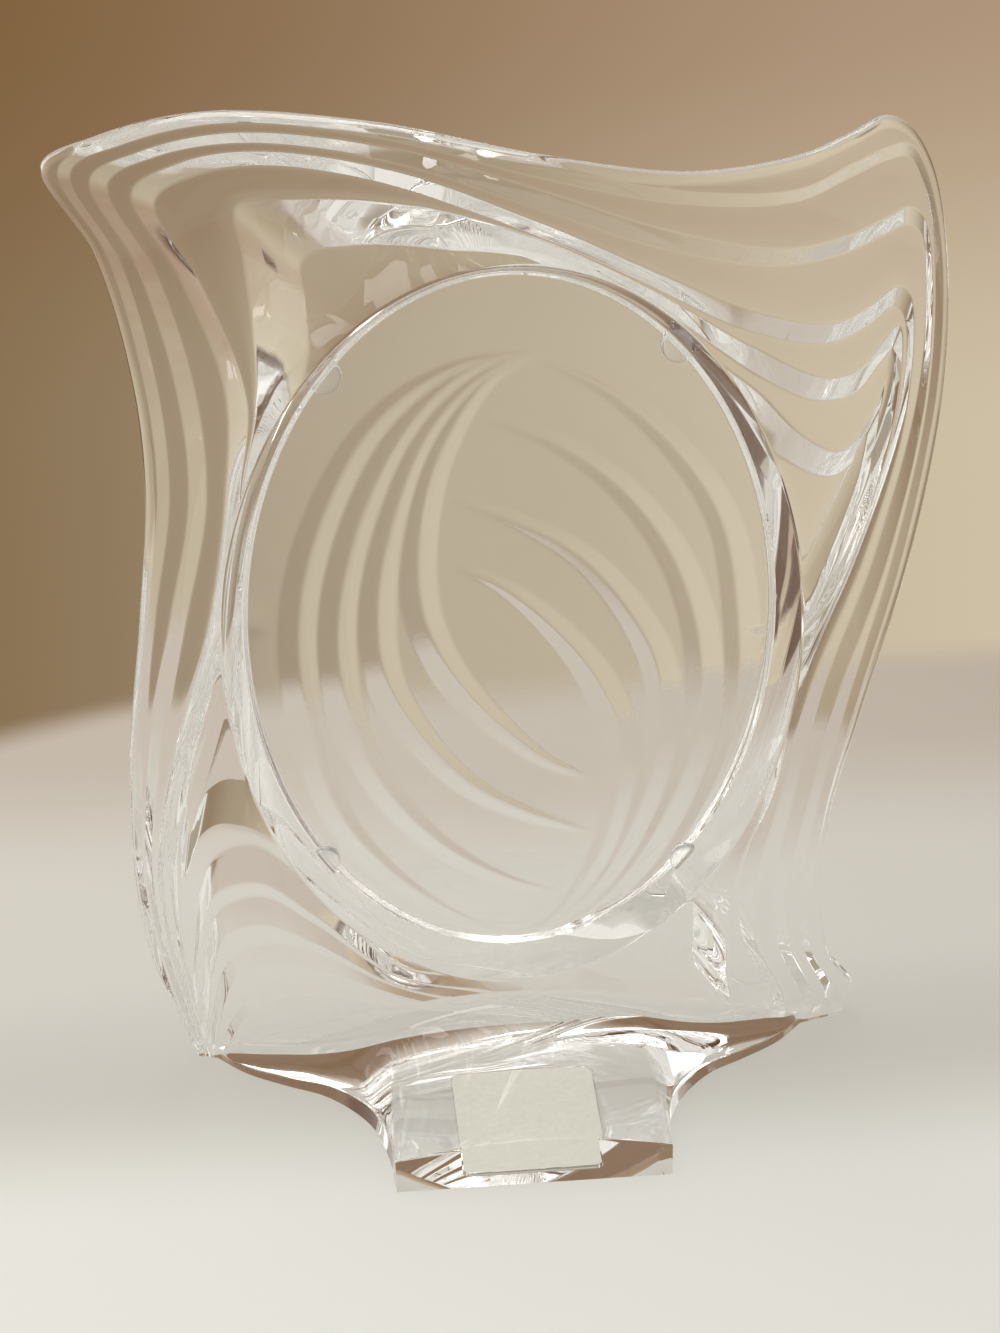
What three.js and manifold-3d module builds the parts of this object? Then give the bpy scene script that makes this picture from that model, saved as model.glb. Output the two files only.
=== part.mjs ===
// Crystal picture frame: a pressed glass body with a pinwheel of swirling terraces round an oval
// photo recess, a flared foot that it leans back over, and a cut oval back plate held by clips.
// Millimetres, +Z up, the frame's back towards -Y. The body is drawn on its own leaned face, with
// u across, w up from the middle of the oval, and n forwards into the glass from the back face.

import * as THREE from 'three';
import { mergeVertices } from 'three/addons/utils/BufferGeometryUtils.js';
import Module from 'manifold-3d';

// Stance
const LEAN_DEG = 10;
const OVAL_HEIGHT = 123;

// Photo recess, for a 5 x 7 inch photo cut to an oval
const PHOTO_WIDTH = 127;
const PHOTO_HEIGHT = 178;
const PHOTO_CLEARANCE = 0.6;
const RECESS_DEPTH = 16;
const RECESS_FLARE = 4.4;
const RIM_CHAMFER = 0.8;

// Glass thickness: a rounded edge, then one rise per terrace. The middle terrace has the mean rise
// and riser, and each terrace inwards from the outline is higher and wider than the last.
const EDGE_THICKNESS = 5;
const TERRACE_RISE = 3;
const RISE_GROWTH = 0.4;
const RISER_HALF_WIDTH = 2;
const RISER_GROWTH = 0.45;
const CORNER_SWEEP = 17.7;

// Foot and its flare: the foot reaches back from the line where the leaned face meets the table
const FOOT_REACH = 52;
const FOOT_WIDTH = 67;
const FOOT_SIDE_HEIGHT = 8.5;
const FOOT_CROWN_HEIGHT = 12;
const FLARE_TOP = 25.5;
const FLARE_PULL = 0.3;
const FLARE_DROP = 1.5;
const BASE_WIDTH = 168;
const BASE_CORNER_FORWARD = 13;
const BASE_LIP_HEIGHT = 2;

// Back plate
const PLATE_THICKNESS = 4;
const PHOTO_GAP = 1;
const PLATE_CLEARANCE = 0.3;

// Crescents cut into the back plate, in two sets turned half round a point beside its middle. Each is
// a V groove with a narrow wall on the inside of its bend and a wide wall on the outside.
const CUT_DEPTH = 1.4;
const CUT_INNER_WIDTH = 4.4;
const CUT_OUTER_WIDTH = 5.2;
const CUT_SWELL_SHARE = 0.7;
const CUT_CENTRE = [2.9, -8.2];

// Retaining clips
const CLIP_RADIUS = 4;
const CLIP_THICKNESS = 2.4;
const CLIP_ANGLES = [55, 130, 221, 315];
const SEAT_GAP = 0.3;

// Blank label in its shallow recess under the foot
const LABEL_WIDTH = 34;
const LABEL_LENGTH = 29;
const LABEL_THICKNESS = 0.3;
const LABEL_RECESS = 0.8;
const LABEL_FROM_END = 8;
const LABEL_CORNER = 2;

// Fineness of the curved forms
const STEPS_PER_ROW = 4;
const SIDE_STEPS = 16;
const END_STEPS = 12;
const FILLET_STEPS = 8;
const PLATE_STEPS = 96;
const CRESCENT_STEPS = 30;
const CLIP_STEPS = 16;
const CORNER_STEPS = 4;
const EDGE_ANGLES = [90, 40, 0, -40, -90];
const NEAR_SHARES = [0.22, 0.45, 0.68, 0.86];
const RISER_SHARE = 0.42;
const EDGE_SHARE = 0.38;

// How far the tools that cut the glass run past it
const OVERRUN = 5;

// The terraces are drawn for one size of oval, and grow with it
const DRAWN_WIDTH = 127;
const DRAWN_HEIGHT = 178;
const DRAWN_OVAL_HEIGHT = 123;

// Rows clockwise round the frame. Each has the angle where it meets the oval, then its point of the
// outline and of each terrace line inwards. In the fans every terrace keeps its own riser, and in the
// other rows the two inner rises make one slanted facet. The table cuts off what lies below it.
// From the upper left tip along the top
const UPPER_LEFT_ROWS = [
  [122, [-97, 113], [-91.5, 111.5], [-84.5, 109.5], [-75.6, 106.4], [-53.4, 93.5], [-47.4, 87]],
  [117, [-85, 119], [-80, 117.2], [-74, 115], [-66, 112.3], [-54.2, 102.4], [-47, 95.4]],
  [111, [-62, 124], [-59.2, 121.7], [-55, 118.4], [-50, 114.3], [-41, 104], [-36, 98.4]],
  [101, [-28, 122], [-27, 119.5], [-25.2, 115.3], [-23, 110], [-18.8, 101.8], [-16.8, 98.4]],
  [86, [5, 115.5], [5.2, 111.8], [5.6, 106], [6, 99], [5.5, 96.6], [5.2, 94.8]],
];

// The fan in the upper right corner
const UPPER_RIGHT_ROWS = [
  [64, [36, 111.5], [34.6, 106], [31.5, 97.6], [28, 89.2], [29, 86], [29.5, 83]],
  [45, [60, 114], [59.8, 105.4], [57, 92.8], [53, 78.8], [53, 70.5], [51.6, 62.5]],
  [20, [71, 117.8], [71.5, 109.7], [71.5, 94.6], [70.6, 75.6], [69.5, 62.6], [67.5, 47]],
  [7, [79, 120.8], [79.6, 112.6], [80, 97.6], [79, 79], [77.8, 63.8], [75.4, 43.8]],
  [0.5, [84.5, 118.6], [84.3, 113], [86, 99.6], [84.3, 82.4], [83, 70], [80, 46.5]],
  [-2, [90.5, 110.5], [88, 108], [89.3, 97.5], [87.3, 80.5], [85.8, 73], [83.2, 53.5]],
];

// Down the right side, round the lower right corner and along the foot
const RIGHT_ROWS = [
  [-3.5, [95.5, 92], [93.1, 91.2], [91.7, 87.6], [89, 71.5], [87, 58.5], [82.6, 43]],
  [-5, [97.4, 62], [95, 61.6], [92.8, 60.8], [88, 54], [85.3, 45], [75, 14]],
  [-7.5, [93.5, 22], [91, 22.2], [87.4, 22.8], [81.2, 24], [79, 18], [70.4, -1]],
  [-11, [86.5, -16], [84, -15.2], [78.4, -12.4], [71.4, -9], [70.4, -10], [68.6, -12]],
  [-27, [82, -45], [79.6, -44.6], [73.6, -44.8], [65.6, -45], [64.6, -44.4], [62, -42.6]],
  [-41, [82, -70], [77.6, -70.2], [71, -70.2], [61.8, -70], [57.6, -66.4], [53.6, -62.4]],
  [-50, [87.5, -97], [80.4, -94.4], [73.6, -92.4], [63.6, -90], [55.2, -83.4], [51.4, -79.4]],
  [-58, [98, -115], [90.5, -118], [84, -119.5], [75, -119.5], [56.6, -101.8], [51.8, -96.6]],
  [-63, [96, -130], [88, -131.5], [80, -132], [71, -131], [58, -116], [51.5, -107]],
  [-69, [76, -143], [66, -138.5], [60, -135.5], [54, -132], [45, -119], [38, -109]],
  [-79, [36, -143], [30, -133], [27, -128.5], [24, -124], [19, -111], [16, -102.5]],
  [-94, [0, -143], [-2, -115], [-3, -110.5], [-4, -106], [-4.6, -102], [-5, -98.4]],
];

// The fan in the lower left corner
const LOWER_LEFT_ROWS = [
  [-115, [-34, -143], [-32, -101.6], [-31.4, -99.2], [-31, -97], [-30.8, -95.2], [-30.6, -93.2]],
  [-136, [-56, -143], [-50.5, -97], [-51.8, -88], [-52.5, -79.6], [-53.2, -70.4], [-52.6, -62]],
  [-159, [-66, -143], [-61.5, -97.2], [-64, -85], [-65.5, -71.6], [-66, -58.4], [-65.5, -43.5]],
  [-173, [-72, -143], [-70.5, -103], [-73.8, -89.6], [-75.6, -75.6], [-76.3, -61], [-73.2, -40.5]],
  [-178, [-76.6, -143], [-76.4, -112.6], [-79, -102], [-80.4, -88.8], [-81, -72], [-78.2, -43.4]],
  [-181.5, [-80.6, -143], [-80.8, -125], [-82.4, -117], [-83.3, -106], [-83.9, -89], [-80.9, -49]],
  [-183.5, [-84.6, -141], [-84.6, -131], [-85, -126], [-85.6, -120], [-85.8, -103], [-83.8, -56.5]],
  [-184.5, [-91.8, -110], [-90.2, -111], [-88.9, -109], [-87.9, -104], [-87.2, -92], [-83.8, -51.9]],
];

// Up the left side
const LEFT_ROWS = [
  [-185.5, [-96.2, -88], [-93.9, -87], [-92.3, -84.6], [-90.4, -77], [-87.4, -57], [-82.8, -42]],
  [-187, [-97.2, -62], [-94.8, -60.4], [-92.8, -57.4], [-88.4, -51], [-84.8, -40], [-75, -14]],
  [-189.5, [-93.5, -22], [-91, -21.6], [-87.4, -21.6], [-80.6, -23], [-78.1, -17], [-70.2, -0.2]],
  [-193, [-86.5, 16], [-84, 15.6], [-78, 13.4], [-69.8, 9], [-69.2, 10], [-68.2, 12]],
  [-207, [-82, 45], [-77.9, 44.4], [-70.6, 43.2], [-62.4, 42], [-61.6, 41.6], [-60.4, 41]],
  [-221, [-82, 70], [-78, 69.4], [-70.8, 68.6], [-60, 67.6], [-54, 61.4], [-51.6, 58.6]],
  [-230, [-87.5, 97], [-83, 95], [-76.4, 92.6], [-67.2, 90.4], [-53, 79], [-47.6, 73.4]],
];
const FACET_RISES = 2;

// Plan of the flare on the table, from the corner of the foot's end to the corner of the base, as
// shares of the way across and of the way forwards
const BASE_PLAN = [
  [0, 0],
  [0.02, 0.14],
  [0.06, 0.29],
  [0.12, 0.415],
  [0.22, 0.53],
  [0.37, 0.645],
  [0.565, 0.73],
  [0.8, 0.845],
  [1, 1],
];

// Crescents of one set, measured from the point they turn round, each from its fine tip to its tail
const CRESCENTS = [
  [[-18.5, 31], [-5.5, 24.3], [6.5, 13.5], [17.5, -1], [23.8, -16.5], [24.8, -33], [21, -53],
    [13.5, -68], [6.5, -75.8], [-3, -80.2]],
  [[-18.5, 47.5], [-1, 40.2], [13.5, 31], [26.3, 15.5], [33.8, -1], [34.8, -20], [30.5, -41],
    [22.5, -61], [13.5, -72], [4.5, -78.2], [-5, -81]],
  [[-11.3, 66.8], [6, 60], [22, 48.5], [35, 31.5], [43, 10], [44.8, -12], [40, -36],
    [30, -58.5], [20, -71], [9, -78.4], [-4, -81.2]],
  [[2.4, 79.6], [19.3, 71], [35.5, 56.5], [47, 39], [52.8, 14], [54.3, -11], [50, -34],
    [38, -59.5], [27, -71], [14, -78], [-1, -81.2]],
];

const lean = THREE.MathUtils.degToRad(LEAN_DEG);
const floorA = (PHOTO_WIDTH + PHOTO_CLEARANCE) / 2;
const floorB = (PHOTO_HEIGHT + PHOTO_CLEARANCE) / 2;
const rimA = floorA + RECESS_FLARE;
const rimB = floorB + RECESS_FLARE;
const terraces = UPPER_LEFT_ROWS[0].length - 2;
const fullThickness = thicknessAt(terraces);
const plateBack = RECESS_DEPTH - PHOTO_GAP - PLATE_THICKNESS;
const labelY = -FOOT_REACH + LABEL_FROM_END + LABEL_LENGTH / 2;

// How much more than the mean a terrace takes, counted inwards from 1
function growth(terrace, step) {
  return step * (terrace - (terraces + 1) / 2);
}

// Glass thickness on a terrace, where 0 is the rounded edge
function thicknessAt(terrace) {
  let thickness = EDGE_THICKNESS;
  for (let k = 1; k <= terrace; k += 1) thickness += TERRACE_RISE + growth(k, RISE_GROWTH);
  return thickness;
}

const lerp2 = (a, b, t) => [a[0] + (b[0] - a[0]) * t, a[1] + (b[1] - a[1]) * t];
const distance2 = (a, b) => Math.hypot(a[0] - b[0], a[1] - b[1]);

// A point of the leaned face in the frame's own axes
function place(u, w, n) {
  const v = OVAL_HEIGHT + w;
  return [u, n * Math.cos(lean) - v * Math.sin(lean), v * Math.cos(lean) + n * Math.sin(lean)];
}

// A point of an ellipse round the oval's middle
function ovalPoint(degrees, a, b) {
  const t = THREE.MathUtils.degToRad(degrees);
  return [a * Math.cos(t), b * Math.sin(t)];
}

// The back face is flat round the oval and sweeps forwards to the corners
function sweep(u, w) {
  const spread = Math.max(0, Math.hypot(u / rimA, w / rimB) - 1);
  return CORNER_SWEEP * spread * spread;
}

// A drawn point, grown with the photo. What lies below the oval is stretched to meet the table.
function grown([u, w]) {
  const up = w * PHOTO_HEIGHT / DRAWN_HEIGHT;
  const drawnBelow = DRAWN_OVAL_HEIGHT - rimB * DRAWN_HEIGHT / PHOTO_HEIGHT;
  const stretch = (OVAL_HEIGHT - rimB) / drawnBelow * DRAWN_HEIGHT / PHOTO_HEIGHT;
  return [u * PHOTO_WIDTH / DRAWN_WIDTH, up < -rimB ? (up + rimB) * stretch - rimB : up];
}

// All rows in order, with how far their inner rises are slanted
function allRows() {
  const marked = (rows, slant) => rows.map(([rim, ...points]) => (
    { rim, slant, points: points.map(grown) }));
  return [
    ...marked(UPPER_LEFT_ROWS, 1),
    ...marked(UPPER_RIGHT_ROWS, 0),
    ...marked(RIGHT_ROWS, 1),
    ...marked(LOWER_LEFT_ROWS, 0),
    ...marked(LEFT_ROWS, 1),
  ];
}

// A closed smooth line through one point per row
function closedLine(points) {
  const curve = new THREE.CatmullRomCurve3(
    points.map(([u, w]) => new THREE.Vector3(u, w, 0)), true, 'centripetal');
  const count = points.length * STEPS_PER_ROW;
  return Array.from({ length: count }, (_, i) => {
    const p = curve.getPoint(i / count);
    return [p.x, p.y];
  });
}

// The outline and the terrace lines inwards
function terraceLines() {
  const rows = allRows();
  return rows[0].points.map((_, k) => closedLine(rows.map((row) => row.points[k])));
}

// A number of each row, spaced evenly to the next row's
function spread(values, closing) {
  return values.flatMap((value, i) => {
    const next = i + 1 < values.length ? values[i + 1] : closing;
    return Array.from({ length: STEPS_PER_ROW }, (_, j) => (
      THREE.MathUtils.lerp(value, next, j / STEPS_PER_ROW)));
  });
}

// An ellipse's points at the same rows
function ovalRing(a, b) {
  const rims = allRows().map((row) => row.rim);
  return spread(rims, rims[0] - 360).map((angle) => ovalPoint(angle, a, b));
}

// One line moved a fixed distance towards another, but never past a share of the way
function nudge(line, towards, amount, mostShare) {
  return line.map((p, i) => {
    const gap = distance2(p, towards[i]);
    return lerp2(p, towards[i], Math.min(amount / gap, mostShare));
  });
}

// A closed skin from rings of equal length, with a point closing each end
function skinOfRings(rings, firstPoint, lastPoint) {
  const count = rings[0].length;
  const positions = [firstPoint, ...rings.flat(), lastPoint].flat();
  const last = rings.length * count + 1;
  const at = (ring, i) => 1 + ring * count + (i % count);
  const indices = [];
  for (let i = 0; i < count; i += 1) {
    indices.push(0, at(0, i), at(0, i + 1));
    for (let r = 0; r + 1 < rings.length; r += 1) {
      indices.push(at(r, i), at(r + 1, i), at(r, i + 1));
      indices.push(at(r, i + 1), at(r + 1, i), at(r + 1, i + 1));
    }
    indices.push(last, at(rings.length - 1, i + 1), at(rings.length - 1, i));
  }
  const geometry = new THREE.BufferGeometry();
  geometry.setAttribute('position', new THREE.Float32BufferAttribute(positions, 3));
  geometry.setIndex(indices);
  return geometry;
}

// Depths of the rings of the inner rises, each point's steps blended towards one even slant
function slantedDepths(lines, depths) {
  const slants = allRows().map((row) => row.slant);
  const last = lines.length - 1;
  const runs = lines[0].map((_, i) => {
    const run = [0];
    for (let r = 1; r <= last; r += 1) run.push(run[r - 1] + distance2(lines[r - 1][i], lines[r][i]));
    return run;
  });
  return lines.map((_, r) => spread(slants, slants[0]).map((slant, i) => {
    const even = THREE.MathUtils.lerp(depths[0], depths[last], runs[i][r] / runs[i][last]);
    return THREE.MathUtils.lerp(depths[r], even, slant);
  }));
}

// The terraced body without its foot: front centre, terraces, rounded edge, back face, recess
function bodySkin() {
  const lines = terraceLines();
  const rim = ovalRing(rimA + RIM_CHAMFER, rimB + RIM_CHAMFER);
  const window = ovalRing(floorA, floorB);
  const inwards = [...lines, window];
  const rings = [];
  const addRing = (line, depth) => rings.push(line.map(([u, w], i) => (
    place(u, w, sweep(u, w) + (Array.isArray(depth) ? depth[i] : depth)))));
  addRing(window, fullThickness);
  const riserLines = [];
  const riserDepths = [];
  for (let k = terraces; k >= 1; k -= 1) {
    const halfWidth = RISER_HALF_WIDTH + growth(k, RISER_GROWTH);
    riserLines.push(nudge(lines[k], inwards[k + 1], halfWidth, RISER_SHARE));
    riserLines.push(nudge(lines[k], inwards[k - 1], halfWidth, RISER_SHARE));
    riserDepths.push(thicknessAt(k), thicknessAt(k - 1));
  }
  const facetRings = 2 * FACET_RISES;
  const facet = slantedDepths(riserLines.slice(0, facetRings), riserDepths.slice(0, facetRings));
  riserLines.forEach((line, r) => addRing(line, r < facetRings ? facet[r] : riserDepths[r]));
  const edgeRadius = EDGE_THICKNESS / 2;
  for (const degrees of EDGE_ANGLES) {
    const t = THREE.MathUtils.degToRad(degrees);
    const inset = edgeRadius * (1 - Math.cos(t));
    const line = degrees > 0
      ? nudge(lines[0], lines[1], inset, EDGE_SHARE * inset / edgeRadius)
      : nudge(lines[0], rim, inset, EDGE_SHARE);
    addRing(line, edgeRadius + edgeRadius * Math.sin(t));
  }
  for (const share of NEAR_SHARES) {
    addRing(lines[0].map((p, i) => lerp2(p, rim[i], share)), 0);
  }
  addRing(rim, 0);
  addRing(ovalRing(rimA, rimB), RIM_CHAMFER);
  addRing(window, RECESS_DEPTH);
  return skinOfRings(rings, place(0, 0, fullThickness), place(0, 0, RECESS_DEPTH));
}

// Plan points of the base from its left corner round the foot's end to its right corner, each with
// its place across the leaned face where the flare ends
function basePlan() {
  const half = FOOT_WIDTH / 2;
  const across = BASE_WIDTH / 2 - half;
  const curve = new THREE.CatmullRomCurve3(BASE_PLAN.map(([x, y]) => new THREE.Vector3(
    half + x * across, y * (FOOT_REACH + BASE_CORNER_FORWARD) - FOOT_REACH, 0)), false, 'centripetal');
  const side = (sign) => curve.getSpacedPoints(SIDE_STEPS).map(({ x, y }, i) => (
    { x: sign * x, y, u: sign * (half + across * i / SIDE_STEPS), lip: sideLip(y) }));
  const end = Array.from({ length: END_STEPS - 1 }, (_, i) => {
    const x = (2 * (i + 1) / END_STEPS - 1) * half;
    return { x, y: -FOOT_REACH, u: x, lip: endLip(x) };
  });
  return [...side(-1).reverse(), ...end, ...side(1)];
}

// Height of the foot's end face, arched across
function endLip(x) {
  const arch = 1 - (2 * x / FOOT_WIDTH) ** 2;
  return FOOT_SIDE_HEIGHT + (FOOT_CROWN_HEIGHT - FOOT_SIDE_HEIGHT) * arch;
}

// Height of the foot's side edge, falling along the flare
function sideLip(y) {
  const along = Math.min(1, (y + FOOT_REACH) / FOOT_REACH);
  return THREE.MathUtils.lerp(FOOT_SIDE_HEIGHT, BASE_LIP_HEIGHT, along);
}

// The foot: a section for each plan point, running from the table up the foot's edge, along a hollow
// fillet to the back face, and back down to the table inside the glass
function footSkin() {
  const inside = EDGE_THICKNESS / 2;
  const sections = basePlan().map(({ x, y, u, lip }) => {
    const rise = FLARE_TOP * (1 - (2 * u / (BASE_WIDTH + OVERRUN)) ** 2);
    const w = rise - OVAL_HEIGHT;
    const join = place(u, w, sweep(u, w));
    const top = Math.min(lip, join[2]);
    const face = place(u, top - OVAL_HEIGHT, sweep(u, top - OVAL_HEIGHT));
    const hinge = [THREE.MathUtils.lerp(u, x, FLARE_PULL), Math.max(y, face[1] - FLARE_DROP), top];
    const fillet = new THREE.QuadraticBezierCurve3(
      new THREE.Vector3(x, y, top), new THREE.Vector3(...hinge), new THREE.Vector3(...join));
    return [
      [x, y, -OVERRUN],
      ...fillet.getPoints(FILLET_STEPS).map((q) => q.toArray()),
      place(u, w, sweep(u, w) + inside),
      place(u, -OVAL_HEIGHT - OVERRUN, sweep(u, -OVAL_HEIGHT) + inside),
    ];
  });
  return skinOfRings(sections, middleOf(sections[0]), middleOf(sections[sections.length - 1]));
}

function middleOf(ring) {
  return [0, 1, 2].map((k) => ring.reduce((sum, q) => sum + q[k], 0) / ring.length);
}

// Solids for cutting and joining
const wasm = await Module();
wasm.setup();

function toSolid(geometry) {
  const bare = geometry.clone();
  for (const name of Object.keys(bare.attributes)) {
    if (name !== 'position') bare.deleteAttribute(name);
  }
  const merged = mergeVertices(bare, 1e-4);
  return new wasm.Manifold(new wasm.Mesh({
    numProp: 3,
    vertProperties: new Float32Array(merged.attributes.position.array),
    triVerts: new Uint32Array(merged.index.array),
  }));
}

function toGeometry(solid) {
  const mesh = solid.getMesh();
  const geometry = new THREE.BufferGeometry();
  geometry.setAttribute('position', new THREE.Float32BufferAttribute(mesh.vertProperties, 3));
  geometry.setIndex([...mesh.triVerts]);
  return geometry;
}

// A flat-bottomed box with rounded corners, centred in plan
function roundedPanel(width, length, height, radius) {
  const shape = new THREE.Shape();
  const x = width / 2;
  const y = length / 2;
  shape.moveTo(x - radius, -y);
  shape.absarc(x - radius, -y + radius, radius, -Math.PI / 2, 0);
  shape.absarc(x - radius, y - radius, radius, 0, Math.PI / 2);
  shape.absarc(-x + radius, y - radius, radius, Math.PI / 2, Math.PI);
  shape.absarc(-x + radius, -y + radius, radius, Math.PI, Math.PI * 1.5);
  return new THREE.ExtrudeGeometry(
    shape, { depth: height, bevelEnabled: false, curveSegments: CORNER_STEPS });
}

// The body and foot are one casting, cut flat on the table and hollowed a little for the label
function bodySolid() {
  const room = 2 * (OVAL_HEIGHT + FOOT_REACH + BASE_WIDTH);
  const below = new THREE.BoxGeometry(room, room, room).translate(0, 0, -room / 2);
  const seat = roundedPanel(
    LABEL_WIDTH + 2 * SEAT_GAP,
    LABEL_LENGTH + 2 * SEAT_GAP,
    LABEL_RECESS + OVERRUN,
    LABEL_CORNER + SEAT_GAP);
  seat.translate(0, labelY, -OVERRUN);
  return toSolid(bodySkin())
    .add(toSolid(footSkin()))
    .subtract(toSolid(below))
    .subtract(toSolid(seat));
}

// Half axes of the recess wall at a depth
function recessAt(depth) {
  const share = (RECESS_DEPTH - depth) / (RECESS_DEPTH - RIM_CHAMFER);
  return [floorA + RECESS_FLARE * share, floorB + RECESS_FLARE * share];
}

// An ellipse on the leaned face at a depth, evenly stepped in angle
function evenOval(a, b, depth) {
  return Array.from({ length: PLATE_STEPS }, (_, i) => {
    const [u, w] = ovalPoint(-360 * i / PLATE_STEPS, a, b);
    return place(u, w, depth);
  });
}

// A cutter for one crescent: a V along a smooth line that swells from both tips, carried up past the
// face of the plate by a share of its depth
const CUT_PAST_FACE = 0.3;

function crescentSkin(points, turn) {
  const curve = new THREE.CatmullRomCurve3(points.map((p) => {
    const [u, w] = grown(p);
    return new THREE.Vector3(turn * u, turn * w, 0);
  }), false, 'centripetal');
  const [middleU, middleW] = grown(CUT_CENTRE);
  const at = (p, depth) => place(middleU + p.x, middleW + p.y, plateBack + depth);
  const sections = [];
  for (let i = 1; i < CRESCENT_STEPS; i += 1) {
    const t = i / CRESCENT_STEPS;
    const p = curve.getPointAt(t);
    const along = curve.getTangentAt(t);
    const swell = Math.sin(Math.PI * t) ** CUT_SWELL_SHARE;
    const edge = (width) => {
      const out = width * swell * (1 + CUT_PAST_FACE);
      return at({ x: p.x - along.y * out, y: p.y + along.x * out }, -CUT_DEPTH * swell * CUT_PAST_FACE);
    };
    sections.push([edge(CUT_OUTER_WIDTH), at(p, CUT_DEPTH * swell), edge(-CUT_INNER_WIDTH)]);
  }
  return skinOfRings(sections, at(curve.getPoint(0), 0), at(curve.getPoint(1), 0));
}

// The oval back plate, tapered to the recess wall, with its two turned sets of cut crescents
function plateSolid() {
  const rings = [plateBack + PLATE_THICKNESS, plateBack].map((depth) => {
    const [a, b] = recessAt(depth);
    return evenOval(a - PLATE_CLEARANCE, b - PLATE_CLEARANCE, depth);
  });
  const disc = skinOfRings(rings, place(0, 0, plateBack + PLATE_THICKNESS), place(0, 0, plateBack));
  let plate = toSolid(disc);
  for (const points of CRESCENTS) {
    for (const turn of [1, -1]) plate = plate.subtract(toSolid(crescentSkin(points, turn)));
  }
  return plate;
}

// A half-round clip with its straight side along the recess wall, lying over the plate
function clipGeometry(angle) {
  const [a, b] = recessAt(plateBack);
  const [u, w] = ovalPoint(angle, a, b);
  const inward = Math.atan2(-w / (b * b), -u / (a * a));
  const shape = new THREE.Shape();
  shape.absarc(0, 0, CLIP_RADIUS, inward - Math.PI / 2, inward + Math.PI / 2);
  const seat = 2 * SEAT_GAP;
  const clip = new THREE.ExtrudeGeometry(
    shape, { depth: CLIP_THICKNESS, bevelEnabled: false, curveSegments: CLIP_STEPS });
  clip.translate(u + seat * Math.cos(inward), w + seat * Math.sin(inward), 0);
  const drawn = clip.attributes.position;
  for (let i = 0; i < drawn.count; i += 1) {
    drawn.setXYZ(i, ...place(drawn.getX(i), drawn.getY(i), plateBack - SEAT_GAP - drawn.getZ(i)));
  }
  clip.computeVertexNormals();
  return clip;
}

const group = new THREE.Group();

function addPiece(name, geometry, material) {
  const mesh = new THREE.Mesh(geometry, material);
  mesh.name = name;
  group.add(mesh);
}

const glass = (color) => new THREE.MeshStandardMaterial({ color, roughness: 0.03, metalness: 0 });
const clear = new THREE.MeshStandardMaterial({ color: 0xdfe3e0, roughness: 0.2, metalness: 0 });
const paper = new THREE.MeshStandardMaterial({ color: 0xe8e6de, roughness: 0.6, metalness: 0 });

addPiece('crystal_body', toGeometry(bodySolid()), glass(0xe9ece8));
addPiece('back_plate', toGeometry(plateSolid()), glass(0xe4e8e4));
CLIP_ANGLES.forEach((angle, i) => addPiece(`retaining_clip_${i + 1}`, clipGeometry(angle), clear));
addPiece(
  'blank_label',
  roundedPanel(LABEL_WIDTH, LABEL_LENGTH, LABEL_THICKNESS, LABEL_CORNER)
    .translate(0, labelY, LABEL_RECESS - SEAT_GAP - LABEL_THICKNESS),
  paper);

// The origin is the middle of the frame's outer box, on the table
const box = new THREE.Box3().setFromObject(group);
const middle = box.getCenter(new THREE.Vector3());
group.position.set(-middle.x, -middle.y, 0);

export default group;
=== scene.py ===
"""Crystal picture frame, seen from behind: a pressed glass body with swirling terraces and a flared
foot, its cut oval back plate, four retaining clips and a blank label under the foot."""
import math

import bmesh
import bpy
import numpy as np
from mathutils import Matrix, Vector


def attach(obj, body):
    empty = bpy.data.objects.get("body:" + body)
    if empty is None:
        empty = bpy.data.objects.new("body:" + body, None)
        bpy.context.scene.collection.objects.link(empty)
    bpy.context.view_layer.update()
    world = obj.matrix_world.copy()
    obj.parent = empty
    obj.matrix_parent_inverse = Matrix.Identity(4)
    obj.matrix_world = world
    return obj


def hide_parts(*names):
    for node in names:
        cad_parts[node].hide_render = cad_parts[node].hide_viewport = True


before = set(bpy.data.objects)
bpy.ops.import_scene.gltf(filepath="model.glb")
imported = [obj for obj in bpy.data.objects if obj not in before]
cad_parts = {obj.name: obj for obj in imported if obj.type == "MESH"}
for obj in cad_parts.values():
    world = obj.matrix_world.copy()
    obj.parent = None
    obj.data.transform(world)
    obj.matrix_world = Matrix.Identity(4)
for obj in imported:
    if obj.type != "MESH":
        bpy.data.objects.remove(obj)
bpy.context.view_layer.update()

MM = 0.001

# Sizes of the model in millimetres, as in the part's source
LEAN = math.radians(10)
OVAL_HEIGHT = 123
SHIFT = np.array([-0.6038, 14.8526, 0.0])
FLOOR_A, FLOOR_B = 63.8, 89.3
RECESS_DEPTH = 16
RECESS_FLARE = 4.4
RIM_CHAMFER = 0.8
RIM_A, RIM_B = FLOOR_A + RECESS_FLARE, FLOOR_B + RECESS_FLARE
EDGE_THICKNESS = 5
TERRACE_RISE = 3
CORNER_SWEEP = 17.7
TERRACES = 5
FACET_RISES = 2
FOOT_REACH = 52
FOOT_WIDTH = 67
FOOT_SIDE_HEIGHT = 8.5
FOOT_CROWN_HEIGHT = 12
FLARE_TOP = 25.5
FLARE_PULL = 0.3
FLARE_DROP = 1.5
BASE_WIDTH = 168
BASE_CORNER_FORWARD = 13
BASE_LIP_HEIGHT = 2
PLATE_THICKNESS = 4
PLATE_BACK = 11
PLATE_CLEARANCE = 0.3
CUT_DEPTH = 1.4
CUT_INNER_WIDTH, CUT_OUTER_WIDTH = 4.4, 5.2
CUT_SWELL_SHARE = 0.7
CUT_CENTRE = np.array([2.9, -8.2])
CLIP_RADIUS = 4
CLIP_THICKNESS = 2.4
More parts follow.
